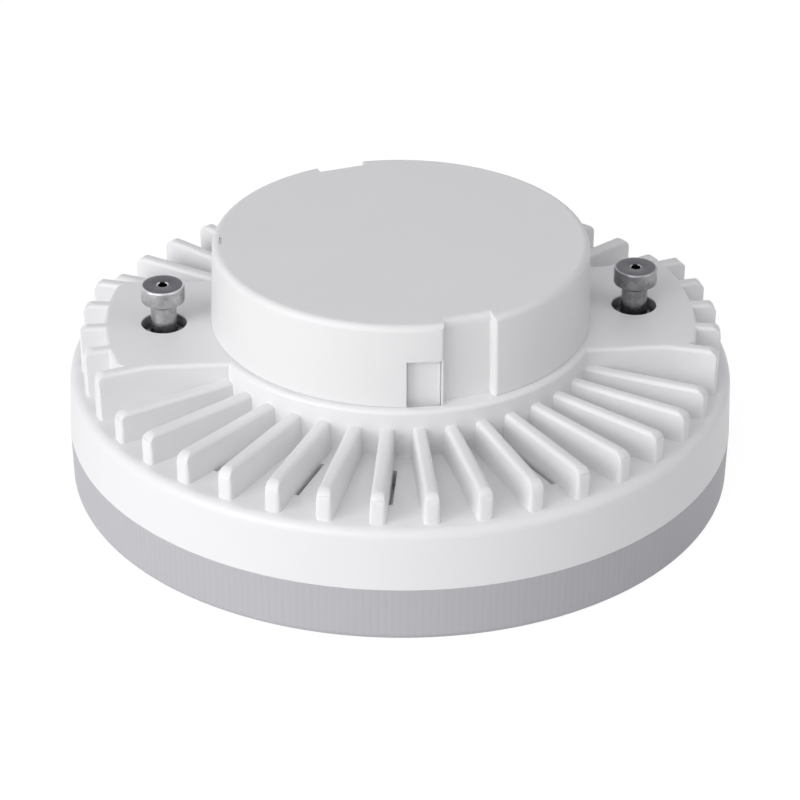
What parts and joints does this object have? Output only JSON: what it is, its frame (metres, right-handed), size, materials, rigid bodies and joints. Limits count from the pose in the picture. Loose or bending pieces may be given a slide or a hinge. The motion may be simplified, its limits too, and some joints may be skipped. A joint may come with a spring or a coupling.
{
  "type": "led disc lamp",
  "caption": "Flat round LED lamp: finned housing, opal diffuser, keyed boss cap and two headed contact pins that twist into a holder.",
  "frame": {"origin": "centre of the diffuser's flat light-emitting face, which the lamp stands on", "axes": "+Z from the flat face towards the boss cap and pins, +X through the axes of both contact pins towards the right pin, +Y away from the keyway nearer the viewer"},
  "size_m": [0.075, 0.075, 0.0283],
  "materials": {
    "diffuser": "opal white, satin",
    "housing": "white moulded, satin",
    "snap_ring": "white moulded, satin",
    "cap": "white moulded, fine matt grain",
    "pin_metal": "nickel plated, turned",
    "washer_metal": "plated, stamped",
    "spreader": "bare sheet",
    "led_board": "aluminium core under white solder mask",
    "led": "phosphor in a white package",
    "screw_metal": "zinc plated",
    "sheet": "dark insulating board",
    "driver_board": "green solder mask on laminate",
    "capacitor_sleeve": "shrunk sleeve, gloss",
    "ferrite": "ground ferrite, matt",
    "bobbin": "black moulded",
    "winding_tape": "yellow tape",
    "film_capacitor": "dipped, gloss",
    "fuse_resistor": "lacquered, matt",
    "moulded_body": "black moulded",
    "pin_lead": "white insulation, tinned core",
    "led_lead_plus": "red insulation, tinned core",
    "led_lead_minus": "black insulation, tinned core"
  },
  "bodies": {
    "root": {"diffuser": "diffuser", "housing": "housing", "snap_ring": "snap_ring", "boss_cap": "cap", "contact_pin_left": "pin_metal", "contact_pin_right": "pin_metal", "pin_washer_left": "washer_metal", "pin_washer_right": "washer_metal", "heat_spreader": "spreader", "led_board": "led_board", "led_outer_1": "led", "led_outer_2": "led", "led_outer_3": "led", "led_outer_4": "led", "led_outer_5": "led", "led_outer_6": "led", "led_outer_7": "led", "led_outer_8": "led", "led_outer_9": "led", "led_outer_10": "led", "led_outer_11": "led", "led_outer_12": "led", "led_inner_1": "led", "led_inner_2": "led", "led_inner_3": "led", "led_inner_4": "led", "led_inner_5": "led", "led_inner_6": "led", "board_screw_1": "screw_metal", "board_screw_2": "screw_metal", "board_screw_3": "screw_metal", "insulating_sheet": "sheet", "driver_board": "driver_board", "input_capacitor": "capacitor_sleeve", "output_capacitor": "capacitor_sleeve", "transformer_core": "ferrite", "transformer_bobbin": "bobbin", "transformer_winding": "winding_tape", "film_capacitor": "film_capacitor", "fuse_resistor": "fuse_resistor", "rectifier": "moulded_body", "driver_chip": "moulded_body", "pin_lead_left": "pin_lead", "pin_lead_right": "pin_lead", "led_lead_plus": "led_lead_plus", "led_lead_minus": "led_lead_minus"}
  },
  "joints": []
}
